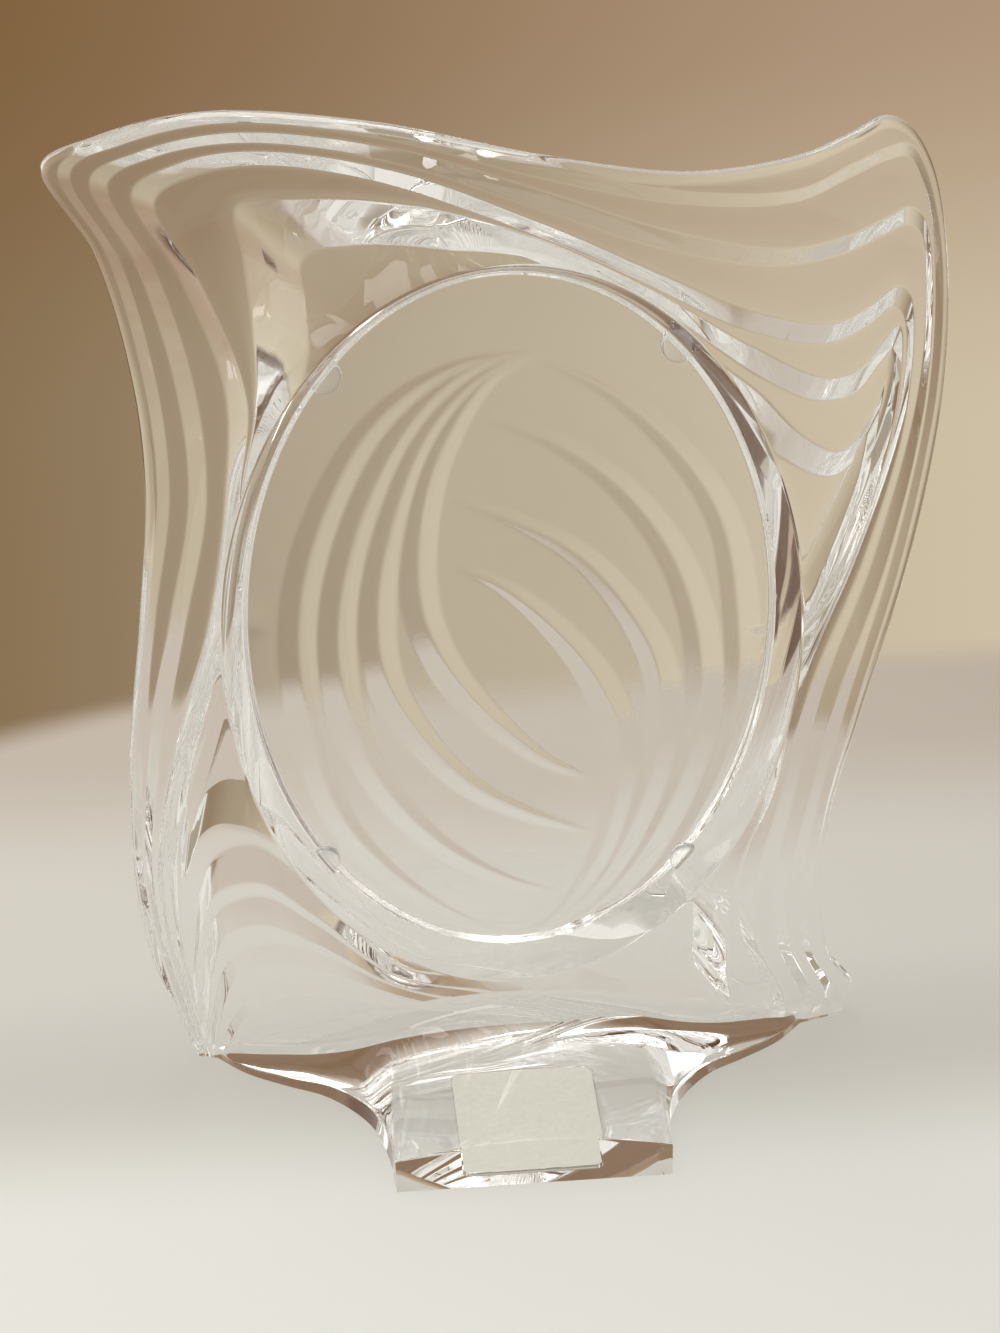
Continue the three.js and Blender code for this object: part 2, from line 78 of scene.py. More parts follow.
CLIP_ANGLES = (55, 130, 221, 315)
SEAT_GAP = 0.3
LABEL_WIDTH, LABEL_LENGTH, LABEL_THICKNESS, LABEL_CORNER = 34, 29, 0.3, 2
LABEL_RECESS = 0.8
LABEL_FROM_END = 8
LABEL_Y = LABEL_FROM_END - FOOT_REACH + LABEL_LENGTH / 2
OVERRUN = 5

# Where the looks ask for more than the part's source has: rises that grow more from one terrace to
# the next, wider risers, a foot whose top is lifted in its middle, and a label stuck to the glass
RISE_GROWTH = 0.8
RISER_HALF_WIDTH, RISER_GROWTH = 2.3, 0.55
FLARE_LIFT = 0.45
STUCK = 0.02

# Small roundings of edges, in millimetres, and shares of them
FLOOR_FILLET = 0.6
PLATE_EDGE_RADIUS = 0.5
CLIP_EDGE_RADIUS = 0.7
CUT_BOTTOM_RADIUS = 0.25
CUT_TIP_REACH = 0.8
CUT_TOP_EASE = 0.05
LIP_RADIUS, LIP_SHARE, LIP_BULGE = 0.8, 0.4, 0.42
FACET_EASE = 0.06
CUTTER_REACH = 400

# Fineness of the curved forms
STEPS_PER_ROW = 20
RISER_PROFILE = ((-1.3, 0), (-1.2, 0.0055), (-1.1, 0.0225), (-1, 0.051), (-0.9, 0.091), (0.9, 0.909),
                 (1, 0.949), (1.1, 0.9775), (1.2, 0.9945), (1.3, 1))
RISER_SHARE = 0.42
EDGE_SHARE = 0.38
SIDE_STEPS, END_STEPS, FILLET_STEPS = 60, 40, 20
PLAN_STEPS = 40
PLATE_GRID = 300
CUT_STEPS = 40
CLIP_ARC_STEPS = 24
PANEL_CORNER_STEPS = 8
EDGE_TURNS = (90, 70, 50, 30, 10, -10, -30, -50, -70, -90)
RIM_TURNS, FLOOR_TURNS = (0, 22, 45, 68, 90), (0, 30, 60, 90)
BACK_SHARES = (0.1, 0.22, 0.34, 0.45, 0.57, 0.68, 0.77, 0.86, 0.94)

# Rows clockwise round the frame. Each has the angle where it meets the oval, then its point of the
# outline and of each terrace line inwards. In the fans every terrace keeps its own riser, and in the
# other rows the two inner rises make one slanted facet. The table cuts off what lies below it.
# From the upper left tip along the top
UPPER_LEFT_ROWS = [
    (122, (-97, 113), (-91.5, 111.5), (-84.5, 109.5), (-75.6, 106.4), (-53.4, 93.5), (-47.4, 87)),
    (117, (-85, 119), (-80, 117.2), (-74, 115), (-66, 112.3), (-54.2, 102.4), (-47, 95.4)),
    (111, (-62, 124), (-59.2, 121.7), (-55, 118.4), (-50, 114.3), (-41, 104), (-36, 98.4)),
    (101, (-28, 122), (-27, 119.5), (-25.2, 115.3), (-23, 110), (-18.8, 101.8), (-16.8, 98.4)),
    (86, (5, 115.5), (5.2, 111.8), (5.6, 106), (6, 99), (5.5, 96.6), (5.2, 94.8)),
]

# The fan in the upper right corner
UPPER_RIGHT_ROWS = [
    (64, (36, 111.5), (34.6, 106), (31.5, 97.6), (28, 89.2), (29, 86), (29.5, 83)),
    (45, (60, 114), (59.8, 105.4), (57, 92.8), (53, 78.8), (53, 70.5), (51.6, 62.5)),
    (20, (71, 117.8), (71.5, 109.7), (71.5, 94.6), (70.6, 75.6), (69.5, 62.6), (67.5, 47)),
    (7, (79, 120.8), (79.6, 112.6), (80, 97.6), (79, 79), (77.8, 63.8), (75.4, 43.8)),
    (0.5, (84.5, 118.6), (84.3, 113), (86, 99.6), (84.3, 82.4), (83, 70), (80, 46.5)),
    (-2, (90.5, 110.5), (88, 108), (89.3, 97.5), (87.3, 80.5), (85.8, 73), (83.2, 53.5)),
]

# Down the right side, round the lower right corner and along the foot
RIGHT_ROWS = [
    (-3.5, (95.5, 92), (93.1, 91.2), (91.7, 87.6), (89, 71.5), (87, 58.5), (82.6, 43)),
    (-5, (97.4, 62), (95, 61.6), (92.8, 60.8), (88, 54), (85.3, 45), (75, 14)),
    (-7.5, (93.5, 22), (91, 22.2), (87.4, 22.8), (81.2, 24), (79, 18), (70.4, -1)),
    (-11, (86.5, -16), (84, -15.2), (78.4, -12.4), (71.4, -9), (70.4, -10), (68.6, -12)),
    (-27, (82, -45), (79.6, -44.6), (73.6, -44.8), (65.6, -45), (64.6, -44.4), (62, -42.6)),
    (-41, (82, -70), (77.6, -70.2), (71, -70.2), (61.8, -70), (57.6, -66.4), (53.6, -62.4)),
    (-50, (87.5, -97), (80.4, -94.4), (73.6, -92.4), (63.6, -90), (55.2, -83.4), (51.4, -79.4)),
    (-58, (98, -115), (90.5, -118), (84, -119.5), (75, -119.5), (56.6, -101.8), (51.8, -96.6)),
    (-63, (96, -130), (88, -131.5), (80, -132), (71, -131), (58, -116), (51.5, -107)),
    (-69, (76, -143), (66, -138.5), (60, -135.5), (54, -132), (45, -119), (38, -109)),
    (-79, (36, -143), (30, -133), (27, -128.5), (24, -124), (19, -111), (16, -102.5)),
    (-94, (0, -143), (-2, -115), (-3, -110.5), (-4, -106), (-4.6, -102), (-5, -98.4)),
]

# The fan in the lower left corner
LOWER_LEFT_ROWS = [
    (-115, (-34, -143), (-32, -101.6), (-31.4, -99.2), (-31, -97), (-30.8, -95.2), (-30.6, -93.2)),
    (-136, (-56, -143), (-50.5, -97), (-51.8, -88), (-52.5, -79.6), (-53.2, -70.4), (-52.6, -62)),
    (-159, (-66, -143), (-61.5, -97.2), (-64, -85), (-65.5, -71.6), (-66, -58.4), (-65.5, -43.5)),
    (-173, (-72, -143), (-70.5, -103), (-73.8, -89.6), (-75.6, -75.6), (-76.3, -61), (-73.2, -40.5)),
    (-178, (-76.6, -143), (-76.4, -112.6), (-79, -102), (-80.4, -88.8), (-81, -72), (-78.2, -43.4)),
    (-181.5, (-80.6, -143), (-80.8, -125), (-82.4, -117), (-83.3, -106), (-83.9, -89), (-80.9, -49)),
    (-183.5, (-84.6, -141), (-84.6, -131), (-85, -126), (-85.6, -120), (-85.8, -103), (-83.8, -56.5)),
    (-184.5, (-91.8, -110), (-90.2, -111), (-88.9, -109), (-87.9, -104), (-87.2, -92), (-83.8, -51.9)),
]

# Up the left side
LEFT_ROWS = [
    (-185.5, (-96.2, -88), (-93.9, -87), (-92.3, -84.6), (-90.4, -77), (-87.4, -57), (-82.8, -42)),
    (-187, (-97.2, -62), (-94.8, -60.4), (-92.8, -57.4), (-88.4, -51), (-84.8, -40), (-75, -14)),
    (-189.5, (-93.5, -22), (-91, -21.6), (-87.4, -21.6), (-80.6, -23), (-78.1, -17), (-70.2, -0.2)),
    (-193, (-86.5, 16), (-84, 15.6), (-78, 13.4), (-69.8, 9), (-69.2, 10), (-68.2, 12)),
    (-207, (-82, 45), (-77.9, 44.4), (-70.6, 43.2), (-62.4, 42), (-61.6, 41.6), (-60.4, 41)),
    (-221, (-82, 70), (-78, 69.4), (-70.8, 68.6), (-60, 67.6), (-54, 61.4), (-51.6, 58.6)),
    (-230, (-87.5, 97), (-83, 95), (-76.4, 92.6), (-67.2, 90.4), (-53, 79), (-47.6, 73.4)),
]

# Each group of rows with its share of slanting and the factor that widens its risers
ROW_GROUPS = ((UPPER_LEFT_ROWS, 1, 1), (UPPER_RIGHT_ROWS, 0, 1), (RIGHT_ROWS, 1, 1),
              (LOWER_LEFT_ROWS, 0, 1.7), (LEFT_ROWS, 1, 1))

# Plan of the flare on the table, from the corner of the foot's end to the corner of the base
BASE_PLAN = [(0, 0), (0.02, 0.14), (0.06, 0.29), (0.12, 0.415), (0.22, 0.53), (0.37, 0.645),
             (0.565, 0.73), (0.8, 0.845), (1, 1)]

# Crescents of one set, measured from the point they turn round, each from its fine tip to its tail
CRESCENTS = [
    [(-18.5, 31), (-5.5, 24.3), (6.5, 13.5), (17.5, -1), (23.8, -16.5), (24.8, -33), (21, -53),
     (13.5, -68), (6.5, -75.8), (-3, -80.2)],
    [(-18.5, 47.5), (-1, 40.2), (13.5, 31), (26.3, 15.5), (33.8, -1), (34.8, -20), (30.5, -41),
     (22.5, -61), (13.5, -72), (4.5, -78.2), (-5, -81)],
    [(-11.3, 66.8), (6, 60), (22, 48.5), (35, 31.5), (43, 10), (44.8, -12), (40, -36),
     (30, -58.5), (20, -71), (9, -78.4), (-4, -81.2)],
    [(2.4, 79.6), (19.3, 71), (35.5, 56.5), (47, 39), (52.8, 14), (54.3, -11), (50, -34),
     (38, -59.5), (27, -71), (14, -78), (-1, -81.2)],
]


# Points, lines and skins

def place(u, w, n):
    """Points of the leaned face, in millimetres on the table's axes: u across, w up, n forwards."""
    u, w, n = np.broadcast_arrays(np.asarray(u, float), w, n)
    v = OVAL_HEIGHT + w
    return np.stack([u, n * math.cos(LEAN) - v * math.sin(LEAN),
                     v * math.cos(LEAN) + n * math.sin(LEAN)], -1)


def sweep(p):
    """How far the back face sweeps forwards outside the oval's rim."""
    outside = np.maximum(0, np.hypot(p[:, 0] / RIM_A, p[:, 1] / RIM_B) - 1)
    return CORNER_SWEEP * outside ** 2


def smooth_line(points, closed, steps):
    """A centripetal smooth line through points, with the same number of steps to each."""
    p = np.array(points, float)
    if closed:
        p = np.vstack([p[-1:], p, p[:2]])
    else:
        p = np.vstack([2 * p[:1] - p[1:2], p, 2 * p[-1:] - p[-2:-1]])
    out = []
    for i in range(1, len(p) - 2):
        p0, p1, p2, p3 = p[i - 1:i + 3]
        d0, d1, d2 = (max(np.linalg.norm(b - a) ** 0.5, 1e-4) for a, b in ((p0, p1), (p1, p2), (p2, p3)))
        t1 = ((p1 - p0) / d0 - (p2 - p0) / (d0 + d1) + (p2 - p1) / d1) * d1
        t2 = ((p2 - p1) / d1 - (p3 - p1) / (d1 + d2) + (p3 - p2) / d2) * d1
        t = (np.arange(steps) / steps)[:, None]
        out.append(p1 + t1 * t + (-3 * p1 + 3 * p2 - 2 * t1 - t2) * t ** 2
                   + (2 * p1 - 2 * p2 + t1 + t2) * t ** 3)
    if not closed:
        out.append(p[-2:-1])
    return np.vstack(out)


def length_along(line):
    return np.concatenate([[0], np.cumsum(np.linalg.norm(np.diff(line, axis=0), axis=1))])


def ellipse(degrees, a, b):
    t = np.radians(degrees)
    return np.stack([a * np.cos(t), b * np.sin(t)], -1)


def ring_faces(low, high):
    """Quads between two rings of vertex numbers."""
    count = len(low)
    return [(low[a], high[a], high[(a + 1) % count], low[(a + 1) % count]) for a in range(count)]


def skin(rings, first, last):
    """A closed skin from rings of equal length, with a point closing each end."""
    count = len(rings[0])
    verts = np.vstack([[first], *rings, [last]])
    numbers = [list(range(1 + r * count, 1 + (r + 1) * count)) for r in range(len(rings))]
    faces = [(0, numbers[0][a], numbers[0][(a + 1) % count]) for a in range(count)]
    for low, high in zip(numbers, numbers[1:]):
        faces += ring_faces(low, high)
    faces += [(len(verts) - 1, numbers[-1][(a + 1) % count], numbers[-1][a]) for a in range(count)]
    return verts, faces


def new_object(name, verts, faces, shift=SHIFT, edges=()):
    """An object at the origin from points in millimetres, which the shift takes to the part's axes."""
    mesh = bpy.data.meshes.new(name)
    mesh.from_pydata(((np.asarray(verts) + shift) * MM).tolist(), edges, faces)
    mesh.update()
    obj = bpy.data.objects.new(name, mesh)
    bpy.context.scene.collection.objects.link(obj)
    return obj


def give_values(obj, name, kind, values):
    """A number or vector kept at each vertex."""
    field = "vector" if kind == "FLOAT_VECTOR" else "value"
    obj.data.attributes.new(name, kind, "POINT").data.foreach_set(field, np.ravel(values))


def face_outwards(obj):
    bm = bmesh.new()
    bm.from_mesh(obj.data)
    bmesh.ops.remove_doubles(bm, verts=bm.verts, dist=1e-6)
    bmesh.ops.recalc_face_normals(bm, faces=bm.faces)
    bm.to_mesh(obj.data)
    bm.free()


def smooth_shading(obj, degrees):
    for poly in obj.data.polygons:
        poly.use_smooth = True
    obj.data.set_sharp_from_angle(angle=math.radians(degrees))


def make_plain(obj):
    """The object's modifiers worked out into its own mesh."""
    bpy.context.view_layer.update()
    mesh = bpy.data.meshes.new_from_object(obj.evaluated_get(bpy.context.evaluated_depsgraph_get()))
    obj.modifiers.clear()
    old = obj.data
    obj.data = mesh
    bpy.data.meshes.remove(old)


def combine(obj, other, operation):
    """obj joined with or cut by other, which is used up."""
    modifier = obj.modifiers.new("combine", "BOOLEAN")
    modifier.object = other
    modifier.operation = operation
    modifier.solver = "MANIFOLD"
    make_plain(obj)
    bpy.data.objects.remove(other)


# Nodes of materials, of the world and of shapes

class Socket:
    """A node's output, whose arithmetic adds Math nodes to its tree with itself as first value."""

    def __init__(self, tree, out):
        self.tree, self.out = tree, out

    def math(self, operation, *others):
        return add_node(self.tree, "ShaderNodeMath", {"operation": operation},
                        dict(enumerate((self, *others))))

    def vector(self, operation, *others, output=0):
        return add_node(self.tree, "ShaderNodeVectorMath", {"operation": operation},
                        dict(enumerate((self, *others))), output)

    def __add__(self, other):
        return self.math("ADD", other)

    def __sub__(self, other):
        return self.math("SUBTRACT", other)

    def __mul__(self, other):
        return self.math("MULTIPLY", other)

    def __truediv__(self, other):
        return self.math("DIVIDE", other)

    __radd__, __rmul__ = __add__, __mul__


def add_node(tree, kind, settings=None, inputs=None, output=0):
    """A node with its settings made first, then its sockets set or linked."""
    node = tree.nodes.new(kind)
    for key, value in (settings or {}).items():
        setattr(node, key, value)
    for key, value in (inputs or {}).items():
        if isinstance(value, Socket):
            tree.links.new(value.out, node.inputs[key])
        else:
            node.inputs[key].default_value = value
    return Socket(tree, node.outputs[output])


def fade(tree, value, start, end):
    """A smooth rise from 0 at start to 1 at end."""
    return add_node(tree, "ShaderNodeMapRange", {"interpolation_type": "SMOOTHSTEP"},
                    {"Value": value, "From Min": start, "From Max": end})


def blend(tree, factor, low, high):
    """One colour turning into another with the factor."""
    return add_node(tree, "ShaderNodeMix", {"data_type": "RGBA"},
                    {"Factor": factor, "A": low, "B": high}, 2)


def axes(tree, vector):
    """The parts of a vector along X, Y and Z."""
    split = add_node(tree, "ShaderNodeSeparateXYZ", None, {"Vector": vector})
    return [Socket(tree, out) for out in split.out.node.outputs]


class ShapeTree:
    """A Geometry Nodes tree whose named inputs are its sizes and the objects it draws on."""

    def __init__(self, name, sizes):
        self.tree = bpy.data.node_groups.new(name, "GeometryNodeTree")
        self.sizes = sizes
        sockets = self.tree.interface
        sockets.new_socket("Geometry", in_out="OUTPUT", socket_type="NodeSocketGeometry")
        sockets.new_socket("Geometry", in_out="INPUT", socket_type="NodeSocketGeometry")
        kinds = {bpy.types.Object: "NodeSocketObject", bpy.types.Material: "NodeSocketMaterial",
                 tuple: "NodeSocketVector"}
        for title, value in sizes.items():
            sockets.new_socket(title, in_out="INPUT",
                               socket_type=kinds.get(type(value), "NodeSocketFloat"))
        given = self.tree.nodes.new("NodeGroupInput")
        self.inputs = {out.name: Socket(self.tree, out) for out in given.outputs if out.name}

    def node(self, kind, settings=None, inputs=None, output=0):
        return add_node(self.tree, kind, settings, inputs, output)

    def stored(self, name, kind="FLOAT"):
        return self.node("GeometryNodeInputNamedAttribute", {"data_type": kind}, {"Name": name})

    def close(self, geometry):
        """Ends the tree with real geometry in its own material."""
        real = self.node("GeometryNodeRealizeInstances", None, {"Geometry": geometry})
        finished = self.node("GeometryNodeSetMaterial", None,
                             {"Geometry": real, "Material": self.inputs["Material"]})
        self.tree.links.new(finished.out, self.tree.nodes.new("NodeGroupOutput").inputs[0])

    def shape(self, obj):
        """Gives obj the shape, as a plain mesh."""
        modifier = obj.modifiers.new(self.tree.name, "NODES")
        modifier.node_group = self.tree
        for item in self.tree.interface.items_tree:
            if item.in_out == "INPUT" and item.name in self.sizes:
                modifier[item.identifier] = self.sizes[item.name]
        make_plain(obj)


# Glass body

def growth(terrace, step):
    """How much more than the mean a terrace takes, counted inwards from 1."""
    return step * (terrace - (TERRACES + 1) / 2)


def thickness_at(terrace):
    """Glass thickness on a terrace, where 0 is the rounded edge."""
    return EDGE_THICKNESS + sum(TERRACE_RISE + growth(k, RISE_GROWTH) for k in range(1, terrace + 1))


FULL_THICKNESS = thickness_at(TERRACES)


def spread(values):
    """A number of each row, spaced evenly to the next row's."""
    return np.concatenate([low + (high - low) * np.arange(STEPS_PER_ROW) / STEPS_PER_ROW
                           for low, high in zip(values, values[1:])])


rows = [row for group in ROW_GROUPS for row in group[0]]
slants, softness = ([group[field] for group in ROW_GROUPS for _ in group[0]] for field in (1, 2))
rim_angles = spread([row[0] for row in rows] + [rows[0][0] - 360])
slant_shares = spread(slants + slants[:1])
riser_softness = spread(softness + softness[:1])[:, None]
terrace_lines = [smooth_line([row[1 + k] for row in rows], True, STEPS_PER_ROW)
                 for k in range(TERRACES + 1)]


def oval_ring(a, b):
    return ellipse(rim_angles, a, b)


def nudge(line, towards, amount, most):
    """A line moved a fixed distance towards another, but never past a share of the way."""
    gap = np.linalg.norm(towards - line, axis=1)[:, None]
    return line + (towards - line) * np.minimum(amount / np.maximum(gap, 1e-6), most)


def rounded_clamp(x, ease):
    """x kept from 0 to 1, with both corners eased."""
    def ramp(t):
        return np.where(t < -ease, 0, np.where(t > ease, t, (t + ease) ** 2 / (4 * ease)))
    return ramp(x) - ramp(x - 1)


def front_rings():
    """Rings of the terraces from the window outwards, each with its depths."""
    lines = terrace_lines
    inwards = lines + [oval_ring(FLOOR_A, FLOOR_B)]
    reach = RISER_PROFILE[-1][0]
    rings = []
    for k in range(TERRACES, 0, -1):
        low, high = thickness_at(k - 1), thickness_at(k)
        half_width = (RISER_HALF_WIDTH + growth(k, RISER_GROWTH)) * riser_softness
        for across, height in reversed(RISER_PROFILE):
            side = inwards[k + 1] if across > 0 else inwards[k - 1]
            line = nudge(lines[k], side, half_width * abs(across), RISER_SHARE * abs(across) / reach)
            rings.append((line, np.full(len(line), low + height * (high - low))))
        following = lines[k - 1]
        start = rings[-1][0]
        if k > 1:
            end = nudge(following, lines[k], (half_width - RISER_GROWTH * riser_softness) * reach,
                        RISER_SHARE)
        else:
            end = nudge(following, lines[k], EDGE_THICKNESS / 2, EDGE_SHARE)
        rings += [(start + (end - start) * t, np.full(len(start), low)) for t in (1 / 3, 2 / 3)]
    return rings


def slant_facet(rings):
    """Blends the inner rises into one even slant, by each row's own share of slanting."""
    count = FACET_RISES * (len(RISER_PROFILE) + 2) - 2
    facet = np.array([line for line, _ in rings[:count]])
    run = np.concatenate([np.zeros((1, facet.shape[1])),
                          np.cumsum(np.linalg.norm(np.diff(facet, axis=0), axis=2), axis=0)])
    start, end = run[0] * 0.5 + run[1] * 0.5, run[-1] * 0.5 + run[-2] * 0.5
    down = rounded_clamp((run - start) / (end - start), FACET_EASE)
    even = FULL_THICKNESS - down * (FULL_THICKNESS - thickness_at(TERRACES - FACET_RISES))
    slanted = [(line, depth * (1 - slant_shares) + even[r] * slant_shares)
               for r, (line, depth) in enumerate(rings[:count])]
    return slanted + rings[count:]


def body_skin():
    rim = oval_ring(RIM_A + RIM_CHAMFER, RIM_B + RIM_CHAMFER)
    window = oval_ring(FLOOR_A, FLOOR_B)
    rings = []

    def add(line, depth):
        rings.append(place(line[:, 0], line[:, 1], sweep(line) + depth))

    for share in (0.5, 0.9, 1):
        add(window * share, FULL_THICKNESS)
    for line, depths in slant_facet(front_rings()):
        add(line, depths)
    outline = terrace_lines[0]
    radius = EDGE_THICKNESS / 2
    for degrees in EDGE_TURNS:
        t = math.radians(degrees)
        inset = radius * (1 - math.cos(t))
        if degrees > 0:
            line = nudge(outline, terrace_lines[1], inset, EDGE_SHARE * inset / radius)
        else:
            line = nudge(outline, rim, inset, EDGE_SHARE)
        add(line, radius + radius * math.sin(t))
    for share in BACK_SHARES:
        add(outline + (rim - outline) * share, 0)
    for degrees in RIM_TURNS:
        t = math.radians(degrees)
        grow = RIM_CHAMFER * (1 - math.sin(t))
        add(oval_ring(RIM_A + grow, RIM_B + grow), RIM_CHAMFER * (1 - math.cos(t)))
    for degrees in FLOOR_TURNS:
        t = math.radians(degrees)
        flare = RECESS_FLARE * FLOOR_FILLET / (RECESS_DEPTH - RIM_CHAMFER) * (1 - math.sin(t))
        inset = flare - FLOOR_FILLET * (1 - math.cos(t))
        add(oval_ring(FLOOR_A + inset, FLOOR_B + inset), RECESS_DEPTH - FLOOR_FILLET * (1 - math.sin(t)))
    add(window * 0.5, RECESS_DEPTH)
    return skin(rings, place(0, 0, FULL_THICKNESS), place(0, 0, RECESS_DEPTH))


def base_plan():
    """Points of the base from its left corner round the foot's end to its right corner."""
    half = FOOT_WIDTH / 2
    across = BASE_WIDTH / 2 - half
    drawn = [(half + x * across, y * (FOOT_REACH + BASE_CORNER_FORWARD) - FOOT_REACH)
             for x, y in BASE_PLAN]
    line = smooth_line(drawn, False, PLAN_STEPS)
    along = length_along(line)
    even = np.linspace(0, along[-1], SIDE_STEPS + 1)
    x, y = np.interp(even, along, line[:, 0]), np.interp(even, along, line[:, 1])
    u = half + across * np.arange(SIDE_STEPS + 1) / SIDE_STEPS
    fall = np.minimum(1, (y + FOOT_REACH) / FOOT_REACH)
    lip = FOOT_SIDE_HEIGHT + (BASE_LIP_HEIGHT - FOOT_SIDE_HEIGHT) * fall
    right = list(zip(x, y, u, lip))
    left = [(-a, b, -c, d) for a, b, c, d in reversed(right)]
    end_x = (2 * np.arange(1, END_STEPS) / END_STEPS - 1) * half
    arch = FOOT_SIDE_HEIGHT + (FOOT_CROWN_HEIGHT - FOOT_SIDE_HEIGHT) * (1 - (end_x / half) ** 2)
    return left + [(x, -FOOT_REACH, x, h) for x, h in zip(end_x, arch)] + right


def foot_skin():
    """The foot: up its edge, along a hollow fillet to the back face, and down inside the glass."""
    inside = EDGE_THICKNESS / 2
    sections = []
    for x, y, u, lip in base_plan():
        rise = FLARE_TOP * (1 - (2 * u / (BASE_WIDTH + OVERRUN)) ** 2)
        w = rise - OVAL_HEIGHT
        fold = sweep(np.array([[u, w]]))[0]
        join = place(u, w, fold)
        top = min(lip, join[2])
        low = np.array([[u, top - OVAL_HEIGHT]])
        face = place(u, top - OVAL_HEIGHT, sweep(low)[0])
        start = np.array([x, y, top])
        lift = FLARE_LIFT * max(0, join[2] - top) * max(0, 1 - (2 * u / FOOT_WIDTH) ** 2)
        hinge = np.array([u + (x - u) * FLARE_PULL, max(y, face[1] - FLARE_DROP), top + lift])
        length = np.linalg.norm(hinge - start)
        t = (np.arange(FILLET_STEPS + 1) / FILLET_STEPS)[:, None]
        fillet = start * (1 - t) ** 2 + 2 * hinge * t * (1 - t) + join * t ** 2
        ease = min(LIP_RADIUS, LIP_SHARE * length)
        lip_in = start + (hinge - start) / max(length, 1e-6) * ease
        lip_down = start - np.array([0, 0, min(ease, 0.5 * top)])
        corner = (lip_in + lip_down) / 2 * LIP_BULGE + start * (1 - LIP_BULGE)
        fillet = np.vstack([lip_in, fillet[1:]]) if ease > 0.05 else fillet
        under = np.array([[u, -OVAL_HEIGHT]])
        sections.append(np.vstack([[[x, y, -OVERRUN]], [lip_down], [corner], fillet,
                                   [place(u, w, fold + inside)],
                                   [place(u, -OVAL_HEIGHT - OVERRUN, sweep(under)[0] + inside)]]))
    return skin(sections, sections[0].mean(0), sections[-1].mean(0))


def rounded_panel(name, width, length, low, high, radius):
    """A flat panel with rounded corners, at the label's place under the foot."""
    steps = PANEL_CORNER_STEPS
    right, back = width / 2 - radius, length / 2 - radius
    corners = [(right, back, 0), (-right, back, 90), (-right, -back, 180), (right, -back, 270)]
    outline = [(cx + radius * math.cos(math.radians(a0 + 90 * i / steps)),
                LABEL_Y + cy + radius * math.sin(math.radians(a0 + 90 * i / steps)))
               for cx, cy, a0 in corners for i in range(steps + 1)]
    rings = [np.array([(x, y, z) for x, y in outline]) for z in (low, high)]
    obj = new_object(name, *skin(rings, (0, LABEL_Y, low), (0, LABEL_Y, high)))
    face_outwards(obj)
    return obj


body = new_object("glass_body", *body_skin())
face_outwards(body)
foot = new_object("foot", *foot_skin())
face_outwards(foot)
combine(body, foot, "UNION")
below = new_object("below", [(CUTTER_REACH * x, CUTTER_REACH * y, -CUTTER_REACH * (1 - z) / 2)
                             for x in (-1, 1) for y in (-1, 1) for z in (-1, 1)],
                   [(0, 1, 3, 2), (4, 6, 7, 5), (0, 4, 5, 1), (2, 3, 7, 6), (0, 2, 6, 4), (1, 5, 7, 3)])
face_outwards(below)
combine(body, below, "DIFFERENCE")
seat = rounded_panel("seat", LABEL_WIDTH + 2 * SEAT_GAP, LABEL_LENGTH + 2 * SEAT_GAP, -OVERRUN,
                     LABEL_RECESS - SEAT_GAP - STUCK, LABEL_CORNER + SEAT_GAP)
combine(body, seat, "DIFFERENCE")
smooth_shading(body, degrees=40)


# Materials

def linear(r, g, b):
    """A colour as seen on a screen, from 0 to 255, as the light that the nodes work with."""
    return tuple(c / 12.92 if c <= 0.04045 else ((c + 0.055) / 1.055) ** 2.4
                 for c in (r / 255, g / 255, b / 255)) + (1.0,)


class Finish:
    """A node material under construction, with its Principled shader."""

    def __init__(self, name):
        self.material = bpy.data.materials.new(name)
        self.material.use_nodes = True
        self.tree = self.material.node_tree
        self.shader = self.tree.nodes["Principled BSDF"]
        self.output = self.tree.nodes["Material Output"]

    def node(self, kind, settings=None, inputs=None, output=0):
        return add_node(self.tree, kind, settings, inputs, output)

    def set(self, **values):
        for key, value in values.items():
            socket = self.shader.inputs[key.replace("_", " ")]
            if isinstance(value, Socket):
                self.tree.links.new(value.out, socket)
            else:
                socket.default_value = value

    def position(self):
        return self.node("ShaderNodeTexCoord", output="Object")

    def noise(self, scale, detail=2.0):
        return self.node("ShaderNodeTexNoise", None,
                         {"Vector": self.position(), "Scale": scale, "Detail": detail}, "Fac")

    def bump(self, height, strength, distance):
        return self.node("ShaderNodeBump", None,
                         {"Height": height, "Strength": strength, "Distance": distance}, "Normal")

    def mix_colour(self, factor, low, high):
        return blend(self.tree, factor, low, high)


def let_light_through(finish, share):
    """Light that isn't itself seen passes the clear piece to what stands behind and below it."""
    path = finish.node("ShaderNodeLightPath", output="Is Shadow Ray")
    diffuse = Socket(finish.tree, path.out.node.outputs["Is Diffuse Ray"])
    clear = finish.node("ShaderNodeBsdfTransparent", None, {"Color": (share, share, share, 1)})
    mix = finish.node("ShaderNodeMixShader", None,
                      {0: path + diffuse, 1: Socket(finish.tree, finish.shader.outputs[0]), 2: clear})
    finish.tree.links.new(mix.out, finish.output.inputs["Surface"])


def pressed_glass(name, tint, waviness):
    finish = Finish(name)
    let_light_through(finish, share=0.94)
    waves, clouds = finish.noise(scale=28), finish.noise(scale=9)
    finish.set(Base_Color=finish.mix_colour(clouds, tint, (1, 1, 1, 1)), Roughness=0.0, IOR=1.52,
               Transmission_Weight=1.0, Normal=finish.bump(waves, strength=0.25, distance=waviness * MM))
    return finish.material


def clear_plastic():
    finish = Finish("clear_clip_plastic")
    let_light_through(finish, share=0.9)
    finish.set(Base_Color=(0.97, 0.97, 0.96, 1), Roughness=0.08 + finish.noise(scale=300) * 0.05,
               IOR=1.46, Transmission_Weight=0.9)
    return finish.material


